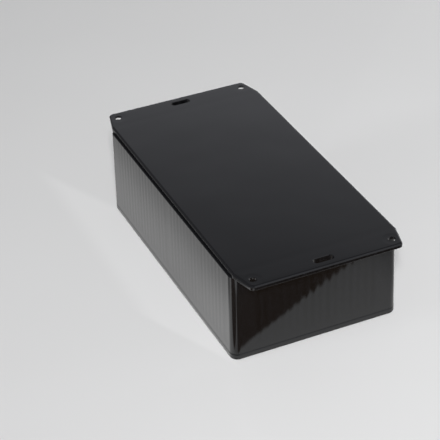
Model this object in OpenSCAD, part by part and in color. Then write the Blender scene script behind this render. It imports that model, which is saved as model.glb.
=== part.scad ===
// Deep project box with a moulded-in wall-mounting plate.
// The box stands open end down: the lid is at the bottom, and the closed
// end, with its two mounting flanges, faces up.

/* [Case] */
// Width over the walls at the open end
case_w = 110; // [106:1:130]
// Length over the walls at the open end
case_l = 190.2; // [186:0.2:194]
// Height from the lid's outer face to the mounting face
case_h = 62.3; // [45:0.1:80]
// Wall thickness
wall = 2.4; // [2:0.1:3]
// Radius of the upright corners
corner_r = 5; // [4:0.5:8]
// Draft of the outer walls, degrees from upright
draft = 0.6; // [0.3:0.1:1]

/* [Mounting plate] */
// Thickness of the closed end and its flanges
plate_t = 3; // [2.4:0.1:4]
// How far the plate's edge sits inside the walls
plate_step = 1.3; // [0.8:0.1:2]
// Length over the two flanges
plate_l = 221; // [219:0.5:240]
// Width across the outer end of a flange
plate_end_w = 99; // [97:0.5:105]
// Where the flange starts to narrow, beyond the plate's body
taper_start = 3.5; // [1:0.5:6]
// Radius of the plate's upper edge
plate_edge_r = 1.3; // [0.6:0.1:1.6]

/* [Mounting holes] */
// Hole spacing across the box
hole_x = 90; // [70:0.5:91]
// Hole spacing along the box
hole_y = 207; // [202:0.5:209]
// Hole diameter
hole_d = 4.4; // [3.5:0.1:5.5]
// Slot length, end to end
slot_l = 13; // [9:0.5:20]
// Slot width
slot_w = 4.4; // [3.5:0.1:5.5]
// Diameter of the head recess under each round hole
recess_d = 10; // [7:0.5:11]
// Depth of the head recess
recess_h = 1.5; // [0.5:0.1:2]

/* [Board guides] */
// Pitch of the guides
guide_pitch = 5.08; // [4:0.02:8]
// Width of one guide
guide_w = 3; // [1.5:0.1:4]
// Guides on each half of a long wall
guides_long = 15; // [4:1:15]
// Guides on each half of a short wall
guides_short = 8; // [3:1:8]

/* [Lid] */
// Height of the lid's edge
lid_edge = 4.2; // [3.5:0.1:6]
// Thickness of the lid's face
lid_face = 2.6; // [2:0.1:3.4]
// Radius of the lid's outer edge
lid_edge_r = 1.9; // [1:0.1:2.5]

/* [Screws and inserts] */
// Distance of each screw from the outer walls
screw_inset = 6.8; // [6.2:0.1:9]
// Screw shank diameter
screw_d = 2.94; // [2.4:0.02:3.2]
// Screw length under the head
screw_l = 12; // [8:1:14]
// Screw head diameter
head_d = 5.8; // [5:0.1:6]
// Screw head height
head_h = 2.2; // [1.6:0.1:2.4]
// Insert outer diameter
insert_d = 4.6; // [4:0.1:5]
// Insert length
insert_l = 6; // [4:0.5:7]

/* [Hidden] */

e = 0.01;
seam = 0.25;                             // small chamfers where case and lid meet
rim = 0.3;                               // broken edge round each hole and slot
shell_top = case_h - plate_t;            // underside of the mounting plate
rise = shell_top - lid_edge;             // height of the drafted walls
taper = rise * tan(draft);               // draft taken up on each side
top_w = case_w - 2 * taper;
top_l = case_l - 2 * taper;
plate_w = top_w - 2 * plate_step;
plate_body_l = top_l - 2 * plate_step;
tip_r = 3;                               // corners of the plate's outline
edge_q = 0.4;                            // rounding under the flanges
inner_r = corner_r - wall;
post_r = 4.4;
guide_tip_x = case_w / 2 - wall - 2;     // plane that the long guides reach
guide_tip_y = case_l / 2 - wall - 2;     // plane that the short guides reach
guide_end = 9;                           // guides stop short of the lid
cbore_d = 6.6;                           // head recess in the lid
cbore_h = 2.5;                           // its depth
insert_z = lid_edge + 0.1;               // face of each insert
sx = case_w / 2 - screw_inset;
sy = case_l / 2 - screw_inset;
screw_xy = [[-sx, -sy], [sx, -sy], [-sx, 0], [sx, 0], [-sx, sy], [sx, sy]];

// rounded rectangle, centred, with true arcs
module rrect(w, l, r) {
    square([w, l - 2 * r], center = true);
    square([w - 2 * r, l], center = true);
    for (x = [-1, 1], y = [-1, 1])
        translate([x * (w / 2 - r), y * (l / 2 - r)]) circle(r = r, $fn = 64);
}

// four thin discs at the corners of a rectangle
module corner_discs(w, l, r, z, fn = 48) {
    for (x = [-1, 1], y = [-1, 1])
        translate([x * (w / 2 - r), y * (l / 2 - r), z])
            cylinder(h = e, r = r, $fn = fn);
}

// half section of a disc: radius r, height h, its upper edge rounded by q
// and its lower edge by b
function plate_section(r, h, q, b, n) = concat(
    [[0, 0]],
    [for (i = [0 : 3]) let (a = -90 + 30 * i)
        [r - b + b * cos(a), b + b * sin(a)]],
    [for (i = [0 : n]) let (a = 90 * i / n)
        [r - q + q * cos(a), h - q + q * sin(a)]],
    [[0, h]]);

// the same with its lower edge rounded by q and its upper edge chamfered by c
function lid_section(r, h, q, c, n) = concat(
    [[0, 0]],
    [for (i = [0 : n]) let (a = -90 + 90 * i / n)
        [r - q + q * cos(a), q + q * sin(a)]],
    [[r, h - c], [r - c, h], [0, h]]);

// outside of the case: drafted walls with rounded upright corners
module shell_outside() {
    hull() {
        corner_discs(case_w - 2 * seam, case_l - 2 * seam, corner_r - seam, lid_edge);
        corner_discs(case_w, case_l, corner_r, lid_edge + seam);
        corner_discs(top_w + 0.8 * tan(draft), top_l + 0.8 * tan(draft),
            corner_r, shell_top - 0.4);
        corner_discs(top_w - 0.8, top_l - 0.8, corner_r - 0.4, shell_top - e);
    }
}

// room inside the case, drafted the same way
module shell_inside() {
    hull() {
        corner_discs(case_w - 2 * wall, case_l - 2 * wall, inner_r, lid_edge - e);
        corner_discs(top_w - 2 * wall, top_l - 2 * wall, inner_r, shell_top - e);
    }
}

// closed end: one flat plate that runs past both short walls
module plate() {
    yb = plate_body_l / 2 + taper_start;
    corners = [[plate_w / 2, yb], [plate_end_w / 2, plate_l / 2]];
    hull()
        for (p = corners, mx = [-1, 1], my = [-1, 1])
            translate([mx * (p[0] - tip_r), my * (p[1] - tip_r), shell_top])
                rotate_extrude($fn = 32)
                    polygon(plate_section(tip_r, plate_t, plate_edge_r, edge_q, 7));
    // between the walls' ends the plate's sides run straight down to the ledge
    translate([0, 0, shell_top - 0.2])
        linear_extrude(height = edge_q + 0.3)
            square([plate_w, top_l - 2], center = true);
}

// upright guides for circuit boards on all four walls
module guides() {
    lw = case_w / 2 - wall + 0.8 - guide_tip_x;
    translate([0, 0, guide_end])
        linear_extrude(height = shell_top - guide_end + 0.5) {
            for (s = [-1, 1], t = [-1, 1], k = [0 : guides_long - 1])
                translate([s * (guide_tip_x + lw / 2),
                    t * guide_pitch * (1.5 + k)])
                    square([lw, guide_w], center = true);
            for (s = [-1, 1], t = [-1, 1], k = [0 : guides_short - 1])
                translate([t * guide_pitch * (0.5 + k),
                    s * (guide_tip_y + lw / 2)])
                    square([guide_w, lw], center = true);
        }
}

// six screw posts, webbed to the walls
module posts() {
    web = screw_inset - wall + 0.3;      // reach of the webs into the walls
    side = post_r + inner_r;             // width of a corner post's webs
    corner = screw_inset - wall - 0.1;   // fill between two webs at a corner
    translate([0, 0, lid_edge])
        linear_extrude(height = shell_top - lid_edge + 0.5) {
            for (p = screw_xy) translate(p) circle(r = post_r, $fn = 64);
            for (x = [-1, 1])
                translate([x * (sx + web / 2), 0])
                    square([web, 2 * post_r], center = true);
            for (x = [-1, 1], y = [-1, 1]) scale([x, y]) translate([sx, sy]) {
                translate([0, -post_r]) square([web, side]);
                translate([-post_r, 0]) square([side, web]);
                square([corner, corner]);
            }
        }
}

// cuts the broken edge round a hole of diameter d
module rim_cone(d) {
    cylinder(h = 2 * rim, d1 = d, d2 = d + 4 * rim, $fn = 48);
}

module case() {
    color([0.035, 0.036, 0.04])
    difference() {
        union() {
            difference() {
                union() {
                    shell_outside();
                    plate();
                }
                shell_inside();
            }
            guides();
            posts();
        }
        // seats for the inserts, with room for the screw ends behind them
        for (p = screw_xy) translate([p[0], p[1], 0]) {
            translate([0, 0, lid_edge - 1])
                cylinder(h = 1 + 0.1 + insert_l, d = insert_d, $fn = 64);
            translate([0, 0, lid_edge])
                cylinder(h = 14.5, d = 3.4, $fn = 48);
        }
        // four round mounting holes, with their upper rims broken and
        // head recesses beneath
        for (x = [-1, 1], y = [-1, 1])
            translate([x * hole_x / 2, y * hole_y / 2, shell_top]) {
                translate([0, 0, -1]) cylinder(h = plate_t + 2, d = hole_d, $fn = 64);
                translate([0, 0, plate_t - rim]) rim_cone(hole_d);
                translate([0, 0, -1]) cylinder(h = 1 + recess_h, d = recess_d, $fn = 64);
            }
        // one slot in the middle of each flange
        for (y = [-1, 1])
            translate([0, y * hole_y / 2, shell_top]) {
                translate([0, 0, -1])
                    linear_extrude(height = plate_t + 2) {
                        square([slot_l - slot_w, slot_w], center = true);
                        for (x = [-1, 1])
                            translate([x * (slot_l - slot_w) / 2, 0])
                                circle(d = slot_w, $fn = 64);
                    }
                hull()
                    for (x = [-1, 1])
                        translate([x * (slot_l - slot_w) / 2, 0, plate_t - rim])
                            rim_cone(slot_w);
            }
    }
}

module lid() {
    tongue_h = 2;
    tongue_t = 2;
    gap = 0.35;
    ox = case_w / 2 - wall - gap;
    oy = case_l / 2 - wall - gap;
    run_l = sy - 2 * post_r - 2;
    run_s = 2 * (sx - post_r - 2);
    color([0.035, 0.036, 0.04])
    difference() {
        union() {
            difference() {
                hull()
                    for (x = [-1, 1], y = [-1, 1])
                        translate([x * (case_w / 2 - corner_r), y * (case_l / 2 - corner_r), 0])
                            rotate_extrude($fn = 40)
                                polygon(lid_section(corner_r, lid_edge, lid_edge_r, seam, 8));
                // shallow tray inside, leaving a rim that meets the walls
                translate([0, 0, lid_face])
                    linear_extrude(height = lid_edge)
                        rrect(case_w - 2 * wall - 4.7, case_l - 2 * wall - 4.7, inner_r);
            }
            // pads round the screw holes
            for (p = screw_xy) translate([p[0], p[1], 1])
                cylinder(h = lid_edge - 1, r = post_r + 0.3, $fn = 64);
            // locating tongue, broken at the posts
            translate([0, 0, lid_face - 0.5])
                linear_extrude(height = lid_edge + tongue_h - lid_face + 0.5) {
                    for (x = [-1, 1], y = [-1, 1])
                        translate([x * (ox - tongue_t / 2), y * (post_r + 1 + run_l / 2)])
                            square([tongue_t, run_l], center = true);
                    for (y = [-1, 1])
                        translate([0, y * (oy - tongue_t / 2)])
                            square([run_s, tongue_t], center = true);
                }
        }
        // screw holes with recesses for the heads
        for (p = screw_xy) translate([p[0], p[1], 0]) {
            translate([0, 0, -1]) cylinder(h = lid_edge + 3, d = 3.4, $fn = 48);
            translate([0, 0, -1]) cylinder(h = 1 + cbore_h, d = cbore_d, $fn = 64);
        }
    }
}

// pan head machine screw, head down, with a cross recess; the shank is plain
module screw(p) {
    dome = 1.1;                          // height of the rounded part
    c = head_d / 2;
    section = concat(
        [[0, cbore_h], [0, cbore_h - head_h]],
        [for (i = [0 : 8]) let (a = 90 * i / 8)
            [c * (0.45 + 0.55 * sin(a)), cbore_h - head_h + dome * (1 - cos(a))]],
        [[c, cbore_h]]);
    color([0.05, 0.05, 0.055])
    translate([p[0], p[1], 0])
    difference() {
        union() {
            rotate_extrude($fn = 64) polygon(section);
            translate([0, 0, cbore_h - 0.2])
                cylinder(h = screw_l + 0.2 - 0.5, d = screw_d, $fn = 48);
            translate([0, 0, cbore_h + screw_l - 0.5])
                cylinder(h = 0.5, d1 = screw_d, d2 = screw_d - 0.9, $fn = 48);
        }
        for (a = [45, 135]) rotate([0, 0, a])
            translate([-1.6, -0.36, cbore_h - head_h - 1])
                cube([3.2, 0.72, 1 + 1.2]);
        translate([0, 0, cbore_h - head_h - 1]) cylinder(h = 1 + 1.35, r = 0.55, $fn = 24);
    }
}

// threaded brass insert with two knurled bands and a waist
module insert(p) {
    color([0.78, 0.62, 0.3])
    translate([p[0], p[1], insert_z])
    difference() {
        union() {
            cylinder(h = 2.4, d = insert_d, $fn = 64);
            cylinder(h = insert_l, d = insert_d - 0.5, $fn = 64);
            translate([0, 0, insert_l - 2.4]) cylinder(h = 2.4, d = insert_d, $fn = 64);
        }
        translate([0, 0, -1]) cylinder(h = insert_l + 2, d = 3.04, $fn = 48);
    }
}

case();
lid();
screw(screw_xy[0]);  // lid_screw_1
screw(screw_xy[1]);  // lid_screw_2
screw(screw_xy[2]);  // lid_screw_3
screw(screw_xy[3]);  // lid_screw_4
screw(screw_xy[4]);  // lid_screw_5
screw(screw_xy[5]);  // lid_screw_6
insert(screw_xy[0]);  // insert_1
insert(screw_xy[1]);  // insert_2
insert(screw_xy[2]);  // insert_3
insert(screw_xy[3]);  // insert_4
insert(screw_xy[4]);  // insert_5
insert(screw_xy[5]);  // insert_6
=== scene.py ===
import math

import bmesh
import bpy
from mathutils import Matrix, Vector


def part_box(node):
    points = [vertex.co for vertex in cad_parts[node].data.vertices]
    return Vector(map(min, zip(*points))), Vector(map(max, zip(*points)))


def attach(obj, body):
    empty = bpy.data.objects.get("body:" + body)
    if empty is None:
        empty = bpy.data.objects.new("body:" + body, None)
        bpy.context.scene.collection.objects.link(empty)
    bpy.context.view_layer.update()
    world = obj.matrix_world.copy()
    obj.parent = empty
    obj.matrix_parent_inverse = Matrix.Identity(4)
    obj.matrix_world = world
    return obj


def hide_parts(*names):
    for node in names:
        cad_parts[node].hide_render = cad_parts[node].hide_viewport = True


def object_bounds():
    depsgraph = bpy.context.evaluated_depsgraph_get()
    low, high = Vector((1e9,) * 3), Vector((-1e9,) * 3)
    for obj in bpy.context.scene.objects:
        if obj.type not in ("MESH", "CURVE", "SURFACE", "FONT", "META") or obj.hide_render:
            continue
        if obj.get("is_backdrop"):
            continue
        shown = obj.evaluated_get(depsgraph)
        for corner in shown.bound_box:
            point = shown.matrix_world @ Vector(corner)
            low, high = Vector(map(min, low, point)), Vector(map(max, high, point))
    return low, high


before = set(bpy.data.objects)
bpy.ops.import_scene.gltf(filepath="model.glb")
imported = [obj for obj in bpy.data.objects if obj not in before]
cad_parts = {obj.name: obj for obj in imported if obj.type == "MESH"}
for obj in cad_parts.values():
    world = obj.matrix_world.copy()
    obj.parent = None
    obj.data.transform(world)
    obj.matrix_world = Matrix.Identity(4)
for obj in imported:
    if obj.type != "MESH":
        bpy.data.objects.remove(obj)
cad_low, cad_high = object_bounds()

scene = bpy.context.scene
scene.view_settings.view_transform = "Standard"
scene.view_settings.look = "None"
scene.view_settings.exposure = 0.0
scene.view_settings.gamma = 1.0

MM = 0.001
TOP = cad_high[2]                 # mounting face
HALF_W = cad_high[0]              # walls at the open end
HALF_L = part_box("lid")[1][1]      # the same, along the box
SHELL_TOP = TOP - 3.0 * MM        # underside of the mounting plate

# ---------------------------------------------------------------- camera
cam_data = bpy.data.cameras.new("view")
cam = bpy.data.objects.new("view", cam_data)
scene.collection.objects.link(cam)
right = Vector((0.90897287, -0.41579742, -0.02967860)).normalized()
back = -Vector((0.33273998, 0.76660104, -0.54918754)).normalized()
up = back.cross(right).normalized()
right = up.cross(back).normalized()
pose = Matrix((right, up, back)).transposed().to_4x4()
pose.translation = Vector((-0.36113, -0.78835, 0.59985))
cam.matrix_world = pose
cam_data.sensor_fit = "HORIZONTAL"
cam_data.sensor_width = 36.0
cam_data.lens = 1635.44 * 36.0 / 440.0
cam_data.shift_y = -1.5 / 440.0
cam_data.clip_start = 0.01
cam_data.clip_end = 100.0
scene.camera = cam


# ---------------------------------------------------------------- node helpers
class Nodes:
    """Short calls that add shader nodes and wire them."""

    def __init__(self, tree):
        self.tree = tree
        tree.nodes.clear()

    def add(self, kind, **props):
        node = self.tree.nodes.new(kind)
        for key, value in props.items():
            setattr(node, key, value)
        return node

    def wire(self, source, target):
        self.tree.links.new(source, target)

    def put(self, socket, value):
        if isinstance(value, bpy.types.NodeSocket):
            self.wire(value, socket)
        else:
            socket.default_value = value

    def math(self, op, a, b=None, c=None, clamp=False):
        node = self.add("ShaderNodeMath", operation=op, use_clamp=clamp)
        for i, value in enumerate((a, b, c)):
            if value is not None:
                self.put(node.inputs[i], value)
        return node.outputs[0]

    def ramp(self, value, low, high, a=0.0, b=1.0, smooth=True):
        node = self.add("ShaderNodeMapRange", clamp=True)
        if smooth:
            node.interpolation_type = "SMOOTHSTEP"
        self.put(node.inputs["Value"], value)
        node.inputs["From Min"].default_value = low
        node.inputs["From Max"].default_value = high
        node.inputs["To Min"].default_value = a
        node.inputs["To Max"].default_value = b
        return node.outputs["Result"]

    def mix(self, factor, a, b):
        node = self.add("ShaderNodeMix", data_type="RGBA")
        self.put(node.inputs["Factor"], factor)
        for socket, value in ((node.inputs[6], a), (node.inputs[7], b)):
            if isinstance(value, bpy.types.NodeSocket):
                self.wire(value, socket)
            else:
                socket.default_value = (*value, 1.0)
        return node.outputs[2]

    def noise(self, vector, scale, detail=2.0, rough=0.5, distortion=0.0):
        node = self.add("ShaderNodeTexNoise")
        self.wire(vector, node.inputs["Vector"])
        node.inputs["Scale"].default_value = scale
        node.inputs["Detail"].default_value = detail
        node.inputs["Roughness"].default_value = rough
        node.inputs["Distortion"].default_value = distortion
        return node.outputs["Fac"]


def new_material(name):
    mat = bpy.data.materials.new(name)
    mat.use_nodes = True
    return mat, Nodes(mat.node_tree)


# ---------------------------------------------------------------- glossy black moulding
def black_plastic(name, walls):
    """Moulded ABS. Heights are in metres: the guides and posts behind the walls leave shallow sinks."""
    mat, n = new_material(name)
    out = n.add("ShaderNodeOutputMaterial")
    bsdf = n.add("ShaderNodeBsdfPrincipled")
    n.wire(bsdf.outputs[0], out.inputs["Surface"])
    place = n.add("ShaderNodeTexCoord").outputs["Object"]
    axes = n.add("ShaderNodeSeparateXYZ")
    n.wire(place, axes.inputs[0])
    x, y, z = axes.outputs
    geo = n.add("ShaderNodeNewGeometry")
    facing = n.add("ShaderNodeSeparateXYZ")
    n.wire(geo.outputs["True Normal"], facing.inputs[0])
    nx, ny, nz = (n.math("ABSOLUTE", s) for s in facing.outputs)
    ax, ay = n.math("ABSOLUTE", x), n.math("ABSOLUTE", y)

    # slow unevenness of the moulding and its fine skin
    slow = n.math("MULTIPLY", n.math("SUBTRACT", n.noise(place, 22.0, 1.0), 0.5), 0.10 * MM)
    skin = n.math("MULTIPLY", n.math("SUBTRACT", n.noise(place, 900.0, 2.0), 0.5), 0.0012 * MM)
    height = n.math("ADD", slow, skin)
    drawn = n.add("ShaderNodeMapping", vector_type="POINT")
    n.wire(place, drawn.inputs["Vector"])
    drawn.inputs["Scale"].default_value = (1.0, 1.0, 0.015)
    shade = None
    if walls:
        on_long = n.ramp(nx, 0.90, 0.985)
        on_short = n.ramp(ny, 0.90, 0.985)
        on_face = n.ramp(nz, 0.90, 0.985)
        deep = n.ramp(z, 7.5 * MM, 12.0 * MM)

        def stripes(along, limit_low, limit_high, depth):
            turn = n.math("MULTIPLY_ADD", along, 2 * math.pi / (5.08 * MM), -math.pi)
            wave = n.math("MULTIPLY_ADD", n.math("COSINE", turn), -0.5, -0.5)
            inside = n.math("MULTIPLY", n.ramp(n.math("ABSOLUTE", along), limit_low, limit_low + 1.5 * MM),
                            n.ramp(n.math("ABSOLUTE", along), limit_high + 1.5 * MM, limit_high))
            return n.math("MULTIPLY", n.math("MULTIPLY", wave, inside), depth)

        def dip(distance, half, depth):
            return n.math("MULTIPLY", n.ramp(distance, 0.0, half, -1.0, 0.0), depth)

        long_sinks = stripes(y, 4.6 * MM, 80.2 * MM, 0.021 * MM)
        short_sinks = stripes(x, -1.0, 39.8 * MM, 0.018 * MM)
        post_mid = dip(ay, 6.5 * MM, 0.03 * MM)
        post_end = dip(n.math("ABSOLUTE", n.math("SUBTRACT", ay, 87.0 * MM)), 6.0 * MM, 0.03 * MM)
        post_side = dip(n.math("ABSOLUTE", n.math("SUBTRACT", ax, 47.5 * MM)), 5.5 * MM, 0.03 * MM)
        long_all = n.math("ADD", long_sinks, n.math("ADD", post_mid, post_end))
        short_all = n.math("ADD", short_sinks, post_side)
        wall_height = n.math("ADD", n.math("MULTIPLY", long_all, on_long),
                             n.math("MULTIPLY", short_all, on_short))
        uneven = n.ramp(n.noise(drawn.outputs[0], 120.0, 1.0), 0.3, 0.7, 0.55, 1.45)
        ripple = n.math("MULTIPLY", n.math("SUBTRACT", n.noise(drawn.outputs[0], 420.0, 1.0), 0.5), 0.011 * MM)
        ripple = n.math("MULTIPLY", ripple, n.math("ADD", on_long, on_short))
        # painted shade: how far the sink stripes darken the base colour
        shade = n.math("ADD", n.math("MULTIPLY", n.math("DIVIDE", short_sinks, 0.018 * MM), on_short),
                       n.math("MULTIPLY", n.math("DIVIDE", long_sinks, 0.021 * MM), on_long))
        shade = n.math("MULTIPLY", n.math("MULTIPLY", shade, deep), uneven)
        wall_height = n.math("MULTIPLY", wall_height, n.math("MULTIPLY", deep, uneven))
        wall_height = n.math("ADD", wall_height, ripple)
        seat = dip(n.math("ABSOLUTE", n.math("SUBTRACT", ay, 93.3 * MM)), 5.0 * MM, 0.008 * MM)
        side = dip(n.math("ABSOLUTE", n.math("SUBTRACT", ax, 53.0 * MM)), 4.0 * MM, 0.004 * MM)
        hx, hy = n.math("SUBTRACT", ax, 45.0 * MM), n.math("SUBTRACT", ay, 103.5 * MM)
        hole = n.math("SQRT", n.math("ADD", n.math("MULTIPLY", hx, hx), n.math("MULTIPLY", hy, hy)))
        ring = n.math("MULTIPLY", n.ramp(hole, 3.2 * MM, 6.5 * MM, -1.0, 0.0), 0.022 * MM)
        face_height = n.math("MULTIPLY", n.math("ADD", n.math("ADD", seat, ring), side), on_face)
        height = n.math("ADD", height, n.math("ADD", wall_height, face_height))
    bump = n.add("ShaderNodeBump")
    bump.inputs["Strength"].default_value = 1.0
    bump.inputs["Distance"].default_value = 1.0
    n.wire(height, bump.inputs["Height"])
    n.wire(bump.outputs[0], bsdf.inputs["Normal"])

    # colour: near black with a cool cast, a little dust in patches
    cloud = n.ramp(n.noise(place, 14.0, 3.0), 0.35, 0.75)
    speck = n.ramp(n.noise(place, 1500.0, 1.0), 0.72, 0.80)
    dust = n.math("MULTIPLY", n.math("MULTIPLY", speck, cloud), 0.5)
    tone = n.mix(cloud, (0.0036, 0.0037, 0.0044), (0.0050, 0.0051, 0.0058))
    # painted shade: the base colour darkens along the sink stripes, standing in for the light the sinks turn away
    if shade is not None:
        tone = n.mix(n.math("MULTIPLY", shade, -0.55), tone, (0.0008, 0.0008, 0.0010))
    n.wire(n.mix(dust, tone, (0.03, 0.03, 0.03)), bsdf.inputs["Base Color"])
    rough = n.ramp(n.noise(place, 60.0, 3.0), 0.3, 0.7, 0.045, 0.075)
    n.wire(n.math("MULTIPLY_ADD", dust, 0.2, rough), bsdf.inputs["Roughness"])
    bsdf.inputs["IOR"].default_value = 1.53
    return mat


def metal(name, colour, roughness, scale):
    mat, n = new_material(name)
    out = n.add("ShaderNodeOutputMaterial")
    bsdf = n.add("ShaderNodeBsdfPrincipled")
    n.wire(bsdf.outputs[0], out.inputs["Surface"])
    place = n.add("ShaderNodeTexCoord").outputs["Object"]
    grain = n.noise(place, scale, 3.0)
    dark = tuple(c * 0.7 for c in colour)
    n.wire(n.mix(n.ramp(grain, 0.35, 0.65), dark, colour), bsdf.inputs["Base Color"])
    n.wire(n.ramp(grain, 0.3, 0.7, roughness * 0.8, roughness * 1.25), bsdf.inputs["Roughness"])
    bsdf.inputs["Metallic"].default_value = 1.0
    bump = n.add("ShaderNodeBump")
    bump.inputs["Distance"].default_value = 1.0
    n.wire(n.math("MULTIPLY", grain, 0.004 * MM), bump.inputs["Height"])
    n.wire(bump.outputs[0], bsdf.inputs["Normal"])
    return mat


# ---------------------------------------------------------------- smooth copies of the mouldings
def seam_ring(half_x, half_y, radius, depth, low, high):
    """Closed ring with rounded corners, reaching in by depth from the walls' foot."""
    bm = bmesh.new()
    loops = []
    for grow in (1.0, -depth):
        path = []
        for sx, sy, start in ((1, 1, 0), (-1, 1, 90), (-1, -1, 180), (1, -1, 270)):
            for k in range(13):
                a = math.radians(start + 7.5 * k)
                path.append((sx * (half_x - radius) + (radius + grow) * math.cos(a),
                             sy * (half_y - radius) + (radius + grow) * math.sin(a)))
        for z in (low, high):
            loops.append([bm.verts.new((px * MM, py * MM, z * MM)) for px, py in path])
    out_low, out_high, in_low, in_high = loops
    for i in range(len(out_low)):
        k = (i + 1) % len(out_low)
        bm.faces.new((out_low[i], out_low[k], out_high[k], out_high[i]))
        bm.faces.new((in_low[k], in_low[i], in_high[i], in_high[k]))
        bm.faces.new((out_high[i], out_high[k], in_high[k], in_high[i]))
        bm.faces.new((out_low[k], out_low[i], in_low[i], in_low[k]))
    mesh = bpy.data.meshes.new("seam_ring")
    bm.to_mesh(mesh)
    bm.free()
    ring = bpy.data.objects.new("seam_ring", mesh)
    scene.collection.objects.link(ring)
    return ring


def without(source, tool):
    """The source's mesh with the tool cut out of it, as a new bmesh. The tool is removed."""
    blank = bpy.data.objects.new("blank", source.data.copy())
    blank.matrix_world = source.matrix_world
    scene.collection.objects.link(blank)
    weld = blank.modifiers.new("weld", "WELD")
    weld.merge_threshold = 2e-6
    cut = blank.modifiers.new("cut", "BOOLEAN")
    cut.operation = "DIFFERENCE"
    cut.solver = "EXACT"
    cut.object = tool
    done = blank.evaluated_get(bpy.context.evaluated_depsgraph_get())
    bm = bmesh.new()
    bm.from_mesh(done.to_mesh())
    done.to_mesh_clear()
    for old in (blank, tool):
        data = old.data
        bpy.data.objects.remove(old)
        bpy.data.meshes.remove(data)
    return bm


def smooth_copy(node, name, mat, angle=38.0):
    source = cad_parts[node]
    mesh = bpy.data.meshes.new(name)
    if node == "case":
        # the fine dark groove that shows above the lid
        bm = without(source, seam_ring(55.0, 95.1, 5.0, 0.8, 4.0, 4.6))
    else:
        bm = bmesh.new()
        bm.from_mesh(source.data)
    bmesh.ops.remove_doubles(bm, verts=bm.verts, dist=2e-6)
    bmesh.ops.dissolve_degenerate(bm, edges=bm.edges, dist=1e-7)
    for face in bm.faces:
        face.smooth = True
    for edge in bm.edges:
        edge.smooth = len(edge.link_faces) == 2 and edge.calc_face_angle(3.14) < math.radians(angle)
    bm.to_mesh(mesh)
    bm.free()
    piece = bpy.data.objects.new(name, mesh)
    scene.collection.objects.link(piece)
    mesh.materials.append(mat)
    weighted = piece.modifiers.new("weighted", "WEIGHTED_NORMAL")
    weighted.mode = "FACE_AREA"
    weighted.weight = 100
    weighted.keep_sharp = True
    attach(piece, "root")
    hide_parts(node)
    return piece


case_mat = black_plastic("case_black", True)
lid_mat = black_plastic("lid_black", False)
case = smooth_copy("case", "case_moulding", case_mat)
lid = smooth_copy("lid", "lid_moulding", lid_mat)


# ---------------------------------------------------------------- screws and inserts
def turned(bm, rows, sides, radius):
    """Closed surface of revolution. rows: (z, r); radius(angle index, row index, r) can vary each vertex."""
    rings = []
    for j, (z, r) in enumerate(rows):
        if r == 0.0:
            rings.append([bm.verts.new((0.0, 0.0, z))])
            continue
        ring = []
        for i in range(sides):
            a = 2 * math.pi * i / sides
            q = radius(i, j, r)
            ring.append(bm.verts.new((q * math.cos(a), q * math.sin(a), z)))
        rings.append(ring)
    for low, high in zip(rings, rings[1:]):
        for i in range(sides):
            k = (i + 1) % sides
            if len(low) == 1:
                bm.faces.new((low[0], high[k], high[i]))
            elif len(high) == 1:
                bm.faces.new((low[i], low[k], high[0]))
            else:
                bm.faces.new((low[i], low[k], high[k], high[i]))
    return rings


def mesh_object(name, bm):
    bmesh.ops.recalc_face_normals(bm, faces=bm.faces)
    mesh = bpy.data.meshes.new(name)
    bm.to_mesh(mesh)
    bm.free()
    obj = bpy.data.objects.new(name, mesh)
    scene.collection.objects.link(obj)
    return obj


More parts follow.
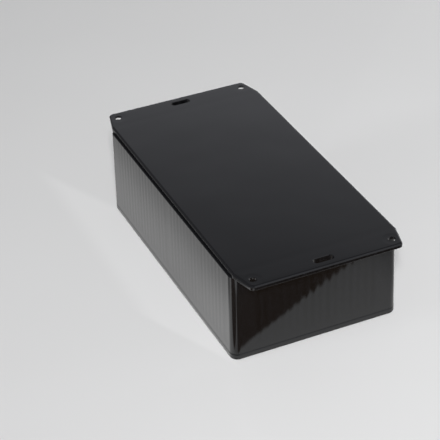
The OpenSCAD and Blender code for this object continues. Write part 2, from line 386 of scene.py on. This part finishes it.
def screw_mesh():
    """Pan head screw in millimetres, head down: seat of the head at z = 2.5, tip at z = 14.5."""
    bm = bmesh.new()
    rows = [(0.3, 0.0), (0.3, 1.305)]
    for i in range(1, 13):
        a = math.radians(90 * i / 12)
        rows.append((0.3 + 1.1 * (1 - math.cos(a)), 2.9 * (0.45 + 0.55 * math.sin(a))))
    rows += [(2.42, 2.9), (2.5, 2.82), (2.5, 0.0)]
    turned(bm, rows, 72, lambda i, j, r: r)
    head = mesh_object("screw_head_blank", bm)
    # cross recess: four wings that narrow and draw in with depth, round a tapered core
    bm = bmesh.new()
    for turn in (0, 90):
        ends = []
        for z, reach, half in ((-0.5, 1.72, 0.40), (0.3, 1.60, 0.36), (1.25, 0.95, 0.26)):
            ends.append([bm.verts.new(Matrix.Rotation(math.radians(turn + 45), 3, "Z") @ Vector(c))
                         for c in ((-reach, -half, z), (reach, -half, z), (reach, half, z), (-reach, half, z))])
        for low, high in zip(ends, ends[1:]):
            for i in range(4):
                k = (i + 1) % 4
                bm.faces.new((low[i], low[k], high[k], high[i]))
        bm.faces.new(ends[0][::-1])
        bm.faces.new(ends[-1])
    turned(bm, [(-0.5, 0.0), (-0.5, 0.72), (0.3, 0.66), (1.2, 0.46), (1.62, 0.0)], 24, lambda i, j, r: r)
    cutter = mesh_object("screw_recess_blank", bm)
    cut = head.modifiers.new("cut", "BOOLEAN")
    cut.operation = "DIFFERENCE"
    cut.solver = "EXACT"
    cut.use_self = True
    cut.object = cutter
    done = head.evaluated_get(bpy.context.evaluated_depsgraph_get())
    bm = bmesh.new()
    bm.from_mesh(done.to_mesh())
    done.to_mesh_clear()
    for old in (head, cutter):
        data = old.data
        bpy.data.objects.remove(old)
        bpy.data.meshes.remove(data)
    # threaded shank: a grid that follows the helix, four rows to each turn
    pitch, sides, z_low, z_high = 0.5, 28, 2.35, 14.5
    depth = (0.0, 0.13, 0.27, 0.13)
    count = int((z_high - z_low) / pitch * 4) + 8
    grid = {}
    for i in range(sides):
        a = 2 * math.pi * i / sides
        for j in range(-4, count + 5):
            z = z_low + (j / 4.0 + i / sides) * pitch
            if z <= z_low or z >= z_high:
                grid[i, j] = bm.verts.new((0.0, 0.0, min(max(z, z_low), z_high)))
                continue
            r = 1.47 - depth[j % 4]
            if z < 2.9:
                r = 1.47 - 0.27
            r = min(r, 1.47 - 0.55 * max(0.0, (z - 13.9) / 0.6))
            grid[i, j] = bm.verts.new((r * math.cos(a), r * math.sin(a), z))
    for i in range(sides):
        for j in range(-4, count):
            if i + 1 < sides:
                ring = (grid[i, j], grid[i + 1, j], grid[i + 1, j + 1], grid[i, j + 1])
            else:
                ring = (grid[i, j], grid[0, j + 4], grid[0, j + 5], grid[i, j + 1])
            bm.faces.new(ring)
    bmesh.ops.remove_doubles(bm, verts=bm.verts, dist=1e-5)
    bmesh.ops.dissolve_degenerate(bm, edges=bm.edges, dist=1e-6)
    loose = [v for v in bm.verts if not v.link_faces]
    bmesh.ops.delete(bm, geom=loose, context="VERTS")
    return bm


def insert_mesh():
    """Brass insert in millimetres: lower face at z = 0, two knurled bands, threaded bore."""
    bm = bmesh.new()
    rows = [(0.0, 2.10), (0.15, 2.3), (2.25, 2.3), (2.4, 2.05), (3.6, 2.05), (3.75, 2.3), (5.85, 2.3), (6.0, 2.10)]
    inner = [(6.0, 1.72)]
    for k in range(1, 22):
        inner.append((6.0 - 6.0 * k / 22, 1.53 if k % 2 else 1.68))
    inner.append((0.0, 1.72))
    rows += inner

    def knurl(i, j, r):
        return r - 0.11 if r > 2.2 and i % 2 else r

    rings = turned(bm, rows, 80, knurl)
    for i in range(80):
        k = (i + 1) % 80
        bm.faces.new((rings[-1][i], rings[-1][k], rings[0][k], rings[0][i]))
    return bm


def fitted(name, node, bm, place, turn, mat):
    """Puts a piece drawn in millimetres in a node's place."""
    move = Matrix.Translation(Vector(place)) @ Matrix.Rotation(turn, 4, "Z") @ Matrix.Scale(MM, 4)
    bm.transform(move)
    bmesh.ops.recalc_face_normals(bm, faces=bm.faces)
    for face in bm.faces:
        face.smooth = True
    for edge in bm.edges:
        edge.smooth = len(edge.link_faces) == 2 and edge.calc_face_angle(3.14) < math.radians(28)
    mesh = bpy.data.meshes.new(name)
    bm.to_mesh(mesh)
    bm.free()
    mesh.materials.append(mat)
    piece = bpy.data.objects.new(name, mesh)
    scene.collection.objects.link(piece)
    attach(piece, "root")
    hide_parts(node)
    return piece


screw_mat = metal("screw_black", (0.045, 0.045, 0.05), 0.30, 4000.0)
brass_mat = metal("insert_brass", (0.80, 0.60, 0.28), 0.3, 3000.0)
turns = (0.3, 1.1, 0.75, 0.1, 0.95, 0.5)
for index in range(1, 7):
    for kind, build, mat, slot in (("lid_screw", screw_mesh, screw_mat, "black_screws"),
                                   ("insert", insert_mesh, brass_mat, "brass_inserts")):
        node = f"{kind}_{index}"
        low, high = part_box(node)
        mid_x, mid_y = (low[0] + high[0]) / 2, (low[1] + high[1]) / 2
        base = 0.0 if kind == "lid_screw" else low[2]
        fitted(f"{kind}_detail_{index}", node, build(), (mid_x, mid_y, base), turns[index - 1], mat)


# ---------------------------------------------------------------- floor
def plane(name, corners, mat):
    mesh = bpy.data.meshes.new(name)
    mesh.from_pydata([tuple(c) for c in corners], [], [tuple(range(len(corners)))])
    mesh.materials.append(mat)
    obj = bpy.data.objects.new(name, mesh)
    scene.collection.objects.link(obj)
    obj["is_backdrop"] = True
    return obj


def curve(n, value, points):
    """Piecewise linear function of a value."""
    low, high = points[0][0], points[-1][0]
    spread = n.add("ShaderNodeMapRange", clamp=True)
    n.put(spread.inputs["Value"], value)
    spread.inputs["From Min"].default_value = low
    spread.inputs["From Max"].default_value = high
    ramp = n.add("ShaderNodeValToRGB")
    n.wire(spread.outputs["Result"], ramp.inputs["Fac"])
    stops = ramp.color_ramp.elements
    while len(stops) < len(points):
        stops.new(0.5)
    for stop, (at, v) in zip(stops, points):
        stop.position = (at - low) / (high - low)
    for stop, (at, v) in zip(stops, points):
        stop.color = (v, v, v, 1.0)
    return ramp.outputs["Color"]


def floor_axes(n):
    """Floor position in millimetres."""
    axes = n.add("ShaderNodeSeparateXYZ")
    n.wire(n.add("ShaderNodeNewGeometry").outputs["Position"], axes.inputs[0])
    return n.math("MULTIPLY", axes.outputs[0], 1000.0), n.math("MULTIPLY", axes.outputs[1], 1000.0)


R = 8.0
floor_mat, n = new_material("floor_paper")
out = n.add("ShaderNodeOutputMaterial")
bsdf = n.add("ShaderNodeBsdfPrincipled")
n.wire(bsdf.outputs[0], out.inputs["Surface"])
fx, fy = floor_axes(n)
# painted light: the floor colour grows lighter towards +x, standing in for the fall-off of the light across the table
painted_falloff = n.math("MULTIPLY_ADD", fx, 0.00044, n.math("MULTIPLY_ADD", fy, 0.00004, 0.79))
painted_falloff = n.math("MINIMUM", n.math("MAXIMUM", painted_falloff, 0.55), 0.93)
grain = n.ramp(n.noise(n.add("ShaderNodeNewGeometry").outputs["Position"], 6.0, 2.0), 0.2, 0.8, 0.99, 1.01)
t = n.math("MULTIPLY_ADD", fx, -1 / 30.0, -55.0 / 30.0)             # light thrown back by the left wall
start = n.math("MULTIPLY_ADD", t, -66.0, fy)
thrown = n.math("MULTIPLY", n.math("MULTIPLY", n.ramp(t, -0.1, 0.0), n.ramp(t, 1.2, 0.7)),
                n.math("MULTIPLY", n.ramp(start, -100.0, -88.0), n.ramp(start, 103.0, 84.0)))
# floor colour: painted fall-off times grain, with the painted light thrown back by the left wall added
shade = n.math("MULTIPLY", n.math("MULTIPLY", painted_falloff, grain), n.math("MULTIPLY_ADD", thrown, 0.062, 1.0))
tint = n.add("ShaderNodeCombineColor")
for i, k in enumerate((1.0, 1.0, 1.005)):
    n.wire(n.math("MULTIPLY", shade, k), tint.inputs[i])
n.wire(tint.outputs[0], bsdf.inputs["Base Color"])
bsdf.inputs["Roughness"].default_value = 0.9
bsdf.inputs["Specular IOR Level"].default_value = 0.1
plane("floor", [(-R, -R, -0.0001), (R, -R, -0.0001), (R, R, -0.0001), (-R, R, -0.0001)], floor_mat)

# Painted reflection of the table: an emissive sheet just above the floor that only glossy rays see, bright near the
# box, with a dark edge in front of it.
mat, n = new_material("painted_reflection_sheet")
out = n.add("ShaderNodeOutputMaterial")
glow = n.add("ShaderNodeEmission")
n.wire(glow.outputs[0], out.inputs["Surface"])
fx, fy = floor_axes(n)
side = curve(n, fx, [(-140, 0.22), (-120, 0.25), (-105, 0.38), (-96, 0.54), (-90, 0.68), (-82, 0.80), (-76, 0.91),
                     (-70, 0.96), (-64, 0.97), (-60, 0.94), (-56, 1.02), (-50, 1.0), (0, 0.75)])
along = curve(n, fy, [(-60, 1.16), (-35, 1.10), (0, 0.98), (40, 0.95), (80, 0.91), (140, 0.86), (220, 0.80)])
side = n.math("MULTIPLY", side, along)
near_left = n.math("MULTIPLY", n.ramp(fy, -52.0, -66.0), n.ramp(fx, -72.0, -82.0))
side = n.math("ADD", n.math("MULTIPLY", side, n.math("SUBTRACT", 1.0, near_left)),
              n.math("MULTIPLY", near_left, 1.12))
front = curve(n, fy, [(-200, 0.50), (-150, 0.62), (-140, 0.66), (-130, 0.70), (-120, 0.73), (-108, 0.77), (-95, 0.80)])
in_front = n.math("MULTIPLY", n.ramp(fy, -88.0, -97.0), n.ramp(fx, -66.0, -58.0))
front = n.math("MULTIPLY", front, n.ramp(fx, 62.0, 92.0, 1.0, 0.70))
level = n.math("ADD", n.math("MULTIPLY", side, n.math("SUBTRACT", 1.0, in_front)),
               n.math("MULTIPLY", front, in_front))
wobble = n.add("ShaderNodeCombineXYZ")
n.wire(fx, wobble.inputs[0])
n.wire(fy, wobble.inputs[1])
wave = n.math("MULTIPLY", n.math("SUBTRACT", n.noise(wobble.outputs[0], 0.03, 1.0), 0.5), 2.0)
# painted reflection: the dark wedge in front of the box, its edge wavering a little
edge = n.math("ADD", n.math("MULTIPLY_ADD", fx, 0.492, fy), n.math("ADD", 128.2, wave))
dark = n.math("MULTIPLY", n.ramp(edge, 1.5, -2.5), n.ramp(fy, -95.0, -101.0))
# painted highlight: a bright strip reaching out from the near corner, which the rounded corner reflects as a light line
centre = curve(n, fy, [(-190, -76.0 + 200), (-178, -76.0 + 200), (-150, -75.0 + 200), (-132, -70.0 + 200),
                       (-108, -62.0 + 200), (-95, -58.0 + 200)])
away = n.math("ABSOLUTE", n.math("SUBTRACT", fx, n.math("SUBTRACT", centre, 199.0)))
painted_highlight = n.math("MULTIPLY", n.ramp(away, 6.8, 3.2), 0.8)
painted_highlight = n.math("MULTIPLY", painted_highlight, n.ramp(fy, -215.0, -185.0))
# painted highlight: a bright round patch, which the bore of the near-left hole reflects as a light arc
px, py = n.math("ADD", fx, 82.0), n.math("ADD", fy, 192.0)
patch = n.ramp(n.math("SQRT", n.math("ADD", n.math("MULTIPLY", px, px), n.math("MULTIPLY", py, py))), 40.0, 26.0)
painted_highlight = n.math("MAXIMUM", painted_highlight, patch)
dark = n.math("MULTIPLY", dark, n.math("MULTIPLY_ADD", painted_highlight, -0.92, 1.0))
reach = n.math("SQRT", n.math("ADD", n.math("MULTIPLY", fx, fx), n.math("MULTIPLY", fy, fy)))
dark = n.math("MULTIPLY", dark, n.ramp(reach, 420.0, 300.0))
far = n.ramp(reach, 160.0, 420.0)
dim = n.math("MULTIPLY", n.ramp(fx, -90.0, -125.0), n.ramp(fy, -60.0, -15.0))
level = n.math("ADD", n.math("MULTIPLY", level, n.math("SUBTRACT", 1.0, far)),
               n.math("MULTIPLY", far, n.math("MULTIPLY_ADD", dim, -0.40, 0.62)))
# painted shade: the sheet darkens round the box's foot, so the bottom edges reflect a dark contact line
foot = n.math("MAXIMUM", n.math("SUBTRACT", n.math("ABSOLUTE", fx), 55.0), n.math("SUBTRACT", n.math("ABSOLUTE", fy), 95.1))
level = n.math("MULTIPLY", level, n.ramp(foot, -0.8, 1.2, 0.10, 1.0))
grey = n.add("ShaderNodeCombineColor")
for i in range(3):
    n.wire(level, grey.inputs[i])
# painted reflection: the dark wedge is tinted brown, darker further out
brown = n.mix(n.ramp(fy, -150.0, -176.0), (0.150, 0.104, 0.072), (0.090, 0.068, 0.054))
n.wire(n.mix(dark, grey.outputs[0], brown), glow.inputs["Color"])
painted_reflection_plane = plane("painted_reflection_sheet", [(-R, -R, -0.00005), (R, -R, -0.00005), (R, R, -0.00005), (-R, R, -0.00005)], mat)
painted_reflection_plane.visible_camera = False
painted_reflection_plane.visible_diffuse = False
painted_reflection_plane.visible_shadow = False
painted_reflection_plane.visible_transmission = False
painted_reflection_plane.visible_volume_scatter = False


# ---------------------------------------------------------------- light
def area(name, place, target, size, power, colour=(1, 1, 1)):
    """Soft light that reflections do not see; the world holds what they see instead."""
    data = bpy.data.lights.new(name, "AREA")
    data.shape = "RECTANGLE"
    data.size, data.size_y = size
    data.energy = power
    data.color = colour
    obj = bpy.data.objects.new(name, data)
    scene.collection.objects.link(obj)
    obj.location = place
    obj.rotation_euler = (Vector(target) - Vector(place)).to_track_quat("-Z", "Y").to_euler()
    obj.visible_glossy = False
    obj.visible_camera = False
    return obj


world = bpy.data.worlds.new("studio")
scene.world = world
world.use_nodes = True
n = Nodes(world.node_tree)
out = n.add("ShaderNodeOutputWorld")
soft = n.add("ShaderNodeBackground")
soft.inputs["Color"].default_value = (0.98, 0.99, 1.0, 1.0)
soft.inputs["Strength"].default_value = 0.12
room = n.add("ShaderNodeBackground")
axes = n.add("ShaderNodeSeparateXYZ")
n.wire(n.add("ShaderNodeTexCoord").outputs["Generated"], axes.inputs[0])
dx, dy, dz = axes.outputs
elev = n.math("MULTIPLY", n.math("ARCSINE", dz), 180.0 / math.pi)
azim = n.math("MULTIPLY", n.math("ARCTAN2", dx, dy), 180.0 / math.pi)   # degrees from +Y toward +X
fall = curve(n, elev, [(-10, 0.60), (20, 0.60), (27.5, 0.60), (29.3, 0.545), (30.9, 0.44), (32.4, 0.36),
                       (33.8, 0.30), (35.0, 0.25), (37.5, 0.17), (41, 0.12), (60, 0.12), (90, 0.20)])
toward = n.ramp(azim, 15.0, 32.0, 0.90, 1.12)
level = n.math("MULTIPLY", fall, toward)
shade = n.math("MULTIPLY", n.ramp(azim, 4.0, -9.0), n.ramp(azim, -150.0, -115.0))
level = n.math("ADD", n.math("MULTIPLY", level, n.math("SUBTRACT", 1.0, shade)), n.math("MULTIPLY", shade, 0.20))


def lobe(direction, inner, outer):
    """1 inside a cone about a direction, falling to 0 outside it; angles in degrees."""
    d = Vector(direction).normalized()
    dot = n.math("ADD", n.math("MULTIPLY", dx, d.x),
                 n.math("ADD", n.math("MULTIPLY", dy, d.y), n.math("MULTIPLY", dz, d.z)))
    return n.ramp(dot, math.cos(math.radians(outer)), math.cos(math.radians(inner)))


for direction, inner, outer, strength in (((0.45, -0.46, 0.77), 12.0, 26.0, 0.62),):
    cone = lobe(direction, inner, outer)
    level = n.math("ADD", n.math("MULTIPLY", level, n.math("SUBTRACT", 1.0, cone)), n.math("MULTIPLY", cone, strength))
tint = n.add("ShaderNodeCombineColor")
for i, k in enumerate((0.985, 1.0, 1.07)):
    n.wire(n.math("MULTIPLY", level, k), tint.inputs[i])
n.wire(tint.outputs[0], room.inputs["Color"])
pick = n.add("ShaderNodeMixShader")
n.wire(n.add("ShaderNodeLightPath").outputs["Is Glossy Ray"], pick.inputs[0])
n.wire(soft.outputs[0], pick.inputs[1])
n.wire(room.outputs[0], pick.inputs[2])
n.wire(pick.outputs[0], out.inputs["Surface"])

area("key", (-0.84, -1.86, 1.72), (0, 0, 0), (0.4, 0.4), 79.0)
area("side", (-2.60, 0.15, 0.85), (0, 0, 0), (0.45, 0.45), 9.0)

low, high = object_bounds()
